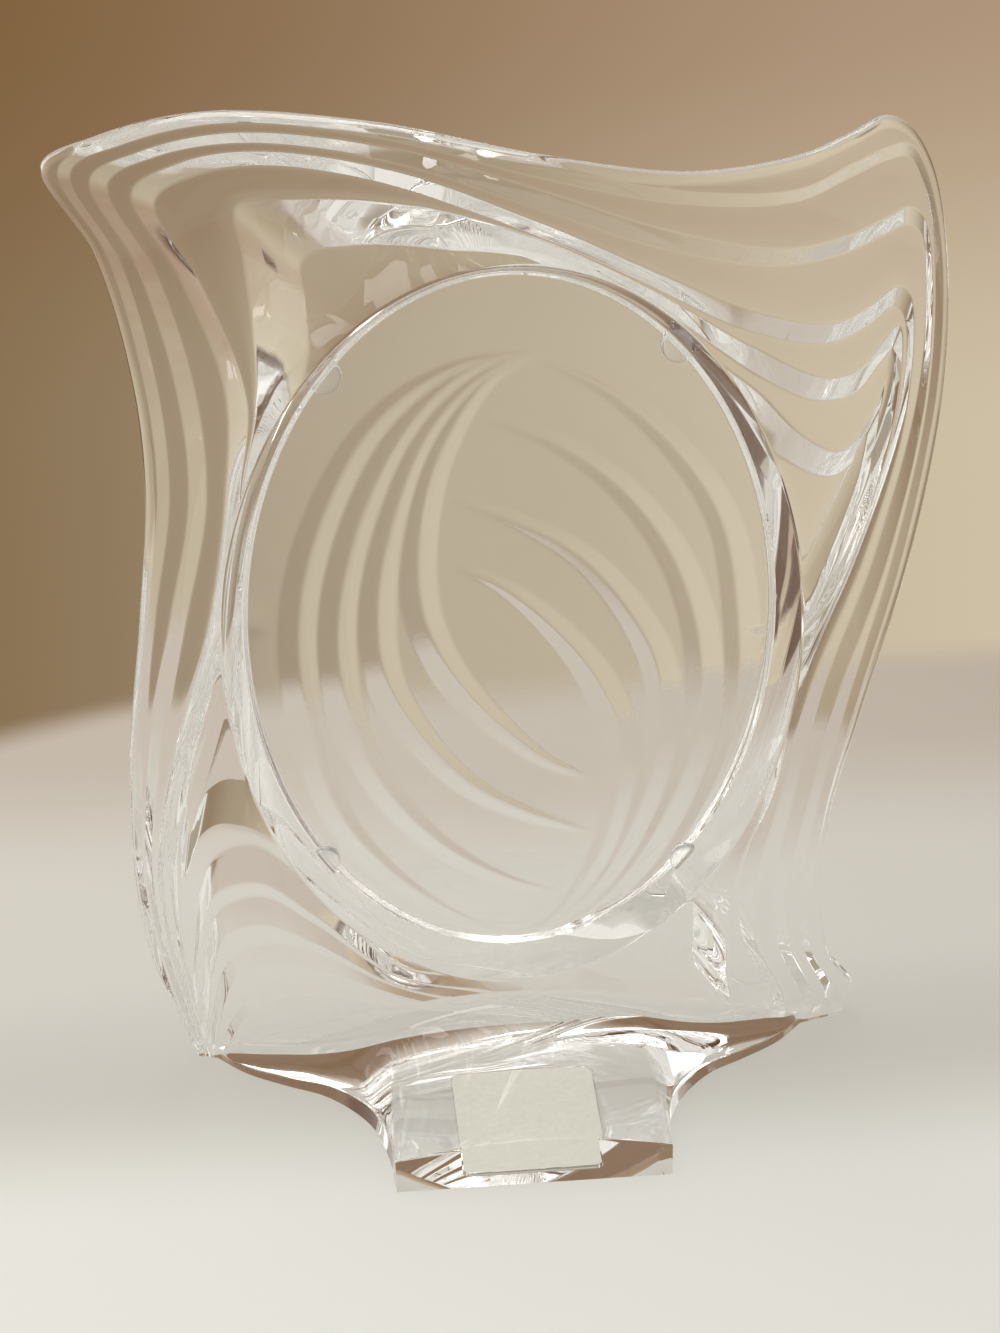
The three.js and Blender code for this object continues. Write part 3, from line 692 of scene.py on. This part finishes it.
def label_film():
    finish = Finish("pale_label_film")
    flecks = finish.noise(scale=900, detail=3.0)
    finish.set(Base_Color=finish.mix_colour(flecks, linear(232, 228, 210), linear(250, 247, 234)),
               Roughness=0.4 + flecks * 0.2, Normal=finish.bump(flecks, strength=0.2, distance=0.05 * MM))
    return finish.material


# Back plate, with its crescents cut by nodes along their lines

def recess_at(depth):
    """Half width and half height of the recess at a depth."""
    share = (RECESS_DEPTH - depth) / (RECESS_DEPTH - RIM_CHAMFER)
    return FLOOR_A + RECESS_FLARE * share, FLOOR_B + RECESS_FLARE * share


def plate_skin():
    """The plain plate: an even grid drawn round for its near face, then its rim and far face."""
    line = np.linspace(-1, 1, PLATE_GRID + 1)
    x, y = (c.ravel() for c in np.meshgrid(line, line))
    wide = np.abs(x) > np.abs(y)
    across = np.where(wide, y / np.where(wide, x, 1), x / np.where(wide | (y == 0), 1, y)) * math.pi / 4
    unit = np.where(wide[:, None], np.stack([x * np.cos(across), x * np.sin(across)], -1),
                    np.stack([y * np.sin(across), y * np.cos(across)], -1))
    side = PLATE_GRID + 1
    faces = [(j * side + i, j * side + i + 1, (j + 1) * side + i + 1, (j + 1) * side + i)
             for j in range(PLATE_GRID) for i in range(PLATE_GRID)]
    steps = range(PLATE_GRID)
    edge = ([*steps] + [i * side + PLATE_GRID for i in steps]
            + [side * side - 1 - i for i in steps] + [(PLATE_GRID - i) * side for i in steps])
    ease = PLATE_EDGE_RADIUS
    a, b = (r - PLATE_CLEARANCE for r in recess_at(PLATE_BACK))
    near = unit * [a - ease, b - ease]
    verts = [place(near[:, 0], near[:, 1], PLATE_BACK)]
    round_edge = unit[edge]
    far_a, far_b = (r - PLATE_CLEARANCE for r in recess_at(PLATE_BACK + PLATE_THICKNESS))
    turns = [(a, b, math.sin(t), PLATE_BACK + ease * (1 - math.cos(t))) for t in np.radians((30, 60, 90))]
    turns += [(far_a, far_b, math.cos(t), PLATE_BACK + PLATE_THICKNESS - ease * (1 - math.sin(t)))
              for t in np.radians((0, 45, 90))]
    previous = edge
    for half_a, half_b, share, depth in turns:
        inset = ease * (1 - share)
        flat = round_edge * [half_a - inset, half_b - inset]
        verts.append(place(flat[:, 0], flat[:, 1], depth))
        start = sum(len(v) for v in verts[:-1])
        ring = list(range(start, start + len(edge)))
        faces += ring_faces(previous, ring)
        previous = ring
    middle = sum(len(v) for v in verts)
    verts.append([place(0, 0, PLATE_BACK + PLATE_THICKNESS)])
    faces += [(previous[i], middle, previous[(i + 1) % len(previous)]) for i in range(len(previous))]
    return np.vstack(verts), faces


def crescent_lines():
    """The bottoms of both turned sets of cuts, as lines that know their number, run and swell."""
    lines = [CUT_CENTRE + smooth_line(np.array(points, float) * sign, False, CUT_STEPS)
             for points in CRESCENTS for sign in (1, -1)]
    verts, edges, numbers, runs, swells = [], [], [], [], []
    for number, line in enumerate(lines):
        first = sum(len(v) for v in verts)
        bottom = place(line[:, 0], line[:, 1], PLATE_BACK)
        run = np.gradient(bottom, axis=0)
        along = length_along(line)
        swells.append(np.sin(np.pi * np.clip(along / along[-1], 1e-4, 1 - 1e-4)) ** CUT_SWELL_SHARE)
        verts.append(bottom)
        edges += [(first + i, first + i + 1) for i in range(len(line) - 1)]
        numbers += [number] * len(line)
        runs.append(run / np.linalg.norm(run, axis=1)[:, None])
    obj = new_object("crescent_lines", np.vstack(verts), [], edges=edges)
    give_values(obj, "number", "FLOAT", numbers)
    give_values(obj, "run", "FLOAT_VECTOR", np.vstack(runs))
    give_values(obj, "swell", "FLOAT", np.concatenate(swells))
    return obj, len(lines)


def cut_tree(lines, count, material):
    """Cuts a face in V grooves that follow the lines and swell from both tips."""
    into = tuple(place(0, 0, 1) - place(0, 0, 0))
    tree = ShapeTree("cut_crescents",
                     {"Lines": lines, "Inner Width": CUT_INNER_WIDTH * MM,
                      "Outer Width": CUT_OUTER_WIDTH * MM, "Depth": CUT_DEPTH * MM,
                      "Bottom Radius": CUT_BOTTOM_RADIUS * MM, "Inwards": into, "Material": material})
    drawn = tree.node("GeometryNodeObjectInfo", None, {"Object": tree.inputs["Lines"]}, "Geometry")
    here = tree.node("GeometryNodeInputPosition")
    inner, outer = tree.inputs["Inner Width"], tree.inputs["Outer Width"]
    round_off = tree.inputs["Bottom Radius"]
    depth = None
    for number in range(count):
        chosen = tree.stored("number").math("COMPARE", number, 0.5)
        line = tree.node("GeometryNodeSeparateGeometry", None,
                         {"Geometry": drawn, "Selection": chosen})
        nearest = tree.node("GeometryNodeSampleNearest", None, {"Geometry": line})

        def at_line(value, kind):
            return tree.node("GeometryNodeSampleIndex", {"data_type": kind},
                             {"Geometry": line, "Value": value, "Index": nearest})

        run = at_line(tree.stored("run", "FLOAT_VECTOR"), "FLOAT_VECTOR")
        swell = at_line(tree.stored("swell"), "FLOAT")
        bottom = at_line(tree.node("GeometryNodeInputPosition"), "FLOAT_VECTOR")
        away = here.vector("SUBTRACT", bottom)
        outward_side = run.vector("CROSS_PRODUCT", tree.inputs["Inwards"])
        aside = away.vector("DOT_PRODUCT", outward_side, output=1)
        past_tip = away.vector("DOT_PRODUCT", run, output=1)
        width = inner + (outer - inner) * aside.math("GREATER_THAN", 0)
        rounded = (aside * aside + round_off * round_off).math("SQRT")
        groove = ((swell - rounded / width).math("SMOOTH_MAX", 0, CUT_TOP_EASE)
                  * past_tip.math("COMPARE", 0, CUT_TIP_REACH * MM))
        depth = groove if depth is None else depth.math("MAXIMUM", groove)
    depth = depth * tree.inputs["Depth"] * tree.stored("near_face")
    fall = tree.node("ShaderNodeVectorMath", {"operation": "SCALE"},
                     {0: tree.inputs["Inwards"], "Scale": depth})
    cut = tree.node("GeometryNodeSetPosition", None,
                    {"Geometry": tree.inputs["Geometry"], "Offset": fall})
    tree.close(cut)
    return tree


plate_glass = pressed_glass("clear_plate_glass", (0.98, 0.985, 0.975, 1), waviness=0.1)
plate_verts, plate_faces = plate_skin()
plate = new_object("cut_plate", plate_verts, plate_faces)
face_outwards(plate)
give_values(plate, "near_face", "FLOAT", np.arange(len(plate.data.vertices)) < (PLATE_GRID + 1) ** 2)
cut_lines, cut_count = crescent_lines()
cut_tree(cut_lines, cut_count, plate_glass).shape(plate)
bpy.data.objects.remove(cut_lines)
smooth_shading(plate, degrees=50)


# Clips, one half-round shape set at four places round the recess

def half_round():
    """One clip lying flat with its straight side through the origin and its round side along X."""
    t = np.linspace(-math.pi / 2, math.pi / 2, CLIP_ARC_STEPS + 1)
    unit = np.stack([np.cos(t), np.sin(t)], -1)
    ease = CLIP_EDGE_RADIUS
    rings = [np.column_stack([unit * CLIP_RADIUS, np.zeros(len(t))])]
    for turn in np.radians((90, 60, 30, 0)):
        radius = CLIP_RADIUS - ease * (1 - math.sin(turn))
        height = CLIP_THICKNESS - ease * (1 - math.cos(turn))
        rings.append(np.column_stack([unit * radius, np.full(len(t), height)]))
    obj = new_object("half_round", *skin(rings, (1, 0, 0), (1, 0, CLIP_THICKNESS)), 0)
    face_outwards(obj)
    return obj


def clip_tree(clip, material):
    """Sets a clip at each marked angle of the recess wall, its round side inwards."""
    a, b = recess_at(PLATE_BACK)
    seat = tuple((place(0, 0, PLATE_BACK - SEAT_GAP) + SHIFT) * MM)
    tree = ShapeTree("clips_round_the_recess",
                     {"Clip": clip, "Oval Half Width": a * MM, "Oval Half Height": b * MM,
                      "Wall Gap": 2 * SEAT_GAP * MM, "Lean": (math.pi / 2 + LEAN, 0.0, 0.0),
                      "Seat": seat, "Material": material})
    half_a, half_b = tree.inputs["Oval Half Width"], tree.inputs["Oval Half Height"]
    around = tree.stored("around")
    u, w = half_a * around.math("COSINE"), half_b * around.math("SINE")
    inward = (w * -1 / (half_b * half_b)).math("ARCTAN2", u * -1 / (half_a * half_a))
    gap = tree.inputs["Wall Gap"]
    spot = tree.node("ShaderNodeCombineXYZ", None, {"X": u + gap * inward.math("COSINE"),
                                                    "Y": w + gap * inward.math("SINE")})
    spots = tree.node("GeometryNodeSetPosition", None,
                      {"Geometry": tree.inputs["Geometry"], "Position": spot})
    drawn = tree.node("GeometryNodeObjectInfo", None, {"Object": tree.inputs["Clip"]}, "Geometry")
    turned = tree.node("ShaderNodeCombineXYZ", None, {"Z": inward})
    copies = tree.node("GeometryNodeInstanceOnPoints", None,
                       {"Points": spots, "Instance": drawn, "Rotation": turned})
    leaned = tree.node("GeometryNodeTransform", None,
                       {"Geometry": copies, "Translation": tree.inputs["Seat"],
                        "Rotation": tree.inputs["Lean"]})
    tree.close(leaned)
    return tree


clips = new_object("clear_clips", np.zeros((len(CLIP_ANGLES), 3)), [], 0)
give_values(clips, "around", "FLOAT", np.radians(CLIP_ANGLES))
one_clip = half_round()
clip_tree(one_clip, clear_plastic()).shape(clips)
bpy.data.objects.remove(one_clip)
smooth_shading(clips, degrees=40)

label = rounded_panel("pale_label", LABEL_WIDTH, LABEL_LENGTH, LABEL_RECESS - SEAT_GAP - LABEL_THICKNESS,
                      LABEL_RECESS - SEAT_GAP, LABEL_CORNER)
smooth_shading(label, degrees=40)
label.data.materials.append(label_film())
body.data.materials.clear()
body.data.materials.append(pressed_glass("clear_pressed_glass", (0.985, 0.987, 0.98, 1),
                                         waviness=0.15))

clip_nodes = [f"retaining_clip_{number}" for number in range(1, len(CLIP_ANGLES) + 1)]
for piece, rides_on, slot, nodes in ((body, "body", "body_glass", ["crystal_body"]),
                                     (label, "body", "label_film", ["blank_label"]),
                                     (plate, "plate", "plate_glass", ["back_plate"]),
                                     (clips, "plate", "clip_plastic", clip_nodes)):
    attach(piece, rides_on)
    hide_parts(*nodes)


# Table, backdrop, light and camera

def seen_only(tree, seen, unseen):
    """One shader for what the camera sees, straight or in gloss and glass, and another for light."""
    path = tree.nodes.new("ShaderNodeLightPath")
    camera, glossy, through = (Socket(tree, path.outputs[n]) for n in
                               ("Is Camera Ray", "Is Glossy Ray", "Is Transmission Ray"))
    return add_node(tree, "ShaderNodeMixShader", None,
                    {0: camera + glossy + through, 1: unseen, 2: seen})


# The table in millimetres. It ends in two straight edges behind the frame, which fade like edges out
# of focus. Painted shade and painted light lie over one another on it, each with the two depths between
# which it fades in: a band of painted shade by the frame, a darker far end and a brighter near end.
TABLE_GAP = -0.1
TABLE_REACH = 1900
TABLE_EDGE = ((TABLE_REACH, 437), (-145, 346.5), (-TABLE_REACH, -1005))
TABLE_EASE = 30
TABLE_COLOUR = (0.75, 0.72, 0.645, 1)
TABLE_PAINTED_SHADE_AND_LIGHT = ((80, 20, (0.67, 0.645, 0.575, 1)), (130, 270, (0.635, 0.56, 0.475, 1)),
                (15, -45, (0.90, 0.885, 0.82, 1)))

table_corners = [(-TABLE_REACH, -TABLE_REACH), (TABLE_REACH, -TABLE_REACH)]
table_corners += [(x, y + 2 * TABLE_EASE) for x, y in TABLE_EDGE]
table_top = new_object("table_top", [(x, y, TABLE_GAP) for x, y in table_corners],
                       [range(len(table_corners))], shift=0)
surface = Finish("pale_table")
sideways, depth_in, _ = axes(surface.tree, surface.position())
# Painted shade and light by depth: the table's colour darkened in a band by the frame and at the far end,
# brightened at the near end
colour = TABLE_COLOUR
for start, end, painted_tone in TABLE_PAINTED_SHADE_AND_LIGHT:
    colour = surface.mix_colour(fade(surface.tree, depth_in, start * MM, end * MM), colour, painted_tone)
kept = []
for (x1, y1), (x2, y2) in zip(TABLE_EDGE, TABLE_EDGE[1:]):
    slope = (y2 - y1) / (x2 - x1)
    past_edge = depth_in - (sideways * slope + (y1 - slope * x1) * MM)
    kept.append(fade(surface.tree, past_edge, TABLE_EASE * MM, -TABLE_EASE * MM))
surface.set(Base_Color=colour, Roughness=0.45, Alpha=kept[0] * kept[1])
table_top.data.materials.append(surface.material)

# The room, coloured by direction for what is seen in and through the glass, with plain light
ROOM_LIGHT, ROOM_STRENGTH = (1.0, 0.985, 0.96, 1), 0.5

world = bpy.data.worlds.new("soft_room")
bpy.context.scene.world = world
world.use_nodes = True
tree = world.node_tree
tree.nodes.clear()
across, forwards, upwards = axes(tree, add_node(tree, "ShaderNodeTexCoord", output="Generated"))
higher = fade(tree, upwards, -0.15, 0.12)
dark_end = blend(tree, higher, linear(135, 111, 80), linear(126, 95, 58))
pale_end = blend(tree, higher, linear(207, 193, 166), linear(176, 150, 124))
wall = blend(tree, fade(tree, across, -0.35, 0.45), dark_end, pale_end)
high_wall = fade(tree, upwards, 0.2, 0.4)
overhead = fade(tree, upwards, 0.86, 0.97)
left_side = fade(tree, across, -0.42, -0.6)
right_side = fade(tree, across, 0.43, 0.5) * fade(tree, upwards, -0.4, -0.2)
near_side = fade(tree, forwards, 0, -0.25)
for share, paint in ((high_wall, (128, 98, 70)), (overhead, (226, 218, 204)),
                     (left_side, (160, 148, 128)), (right_side, (90, 55, 30)),
                     (near_side, (238, 234, 226))):
    wall = blend(tree, share, wall, linear(*paint))
seen = add_node(tree, "ShaderNodeBackground", None, {"Color": wall, "Strength": 1.0})
light = add_node(tree, "ShaderNodeBackground", None, {"Color": ROOM_LIGHT, "Strength": ROOM_STRENGTH})
tree.links.new(seen_only(tree, seen, light).out,
               tree.nodes.new("ShaderNodeOutputWorld").inputs["Surface"])


def area_light(name, size, energy, location, target):
    """A rectangular lamp turned to its target, in metres and watts."""
    lamp = bpy.data.lights.new(name, "AREA")
    lamp.shape = "RECTANGLE"
    lamp.size, lamp.size_y = size
    lamp.energy = energy
    obj = bpy.data.objects.new(name, lamp)
    obj.location = location
    obj.rotation_euler = (Vector(target) - Vector(location)).to_track_quat("-Z", "Y").to_euler()
    bpy.context.scene.collection.objects.link(obj)


area_light("ceiling_softbox", size=(1.2, 0.8), energy=9, location=(-0.3, 0.1, 1.5), target=(0, 0, 0.1))
area_light("left_window", size=(0.5, 0.9), energy=4, location=(-1.2, 0.6, 0.9), target=(0, 0, 0.12))

# The camera's place, turns, lens and sensor, as the photograph's own outlines give them
CAMERA_SPOT = np.array([-27.6147, -351.5684, 227.2732])
PITCH, YAW, ROLL = 0.30891, 0.07189, -0.02037
LENS, SENSOR = 52.93, 36
camera_data = bpy.data.cameras.new("camera")
camera_data.sensor_fit = "HORIZONTAL"
camera_data.sensor_width, camera_data.lens = SENSOR, LENS
camera_data.clip_start = 0.01
camera = bpy.data.objects.new("camera", camera_data)
forward = Vector((math.sin(YAW) * math.cos(PITCH), math.cos(YAW) * math.cos(PITCH), -math.sin(PITCH)))
level = Vector((math.cos(YAW), -math.sin(YAW), 0))
plumb = level.cross(forward)
right = level * math.cos(ROLL) + plumb * math.sin(ROLL)
up = plumb * math.cos(ROLL) - level * math.sin(ROLL)
facing = Matrix((right, up, -forward)).transposed().to_4x4()
camera.matrix_world = Matrix.Translation(Vector((CAMERA_SPOT + SHIFT) * MM)) @ facing
bpy.context.scene.collection.objects.link(camera)
bpy.context.scene.camera = camera

# Light crosses many faces of the cut glass before it is seen
GLASS_BOUNCES = 64
scene = bpy.context.scene
scene.view_settings.view_transform = "Standard"
scene.cycles.max_bounces = scene.cycles.transmission_bounces = GLASS_BOUNCES
scene.cycles.glossy_bounces = scene.cycles.transparent_max_bounces = GLASS_BOUNCES
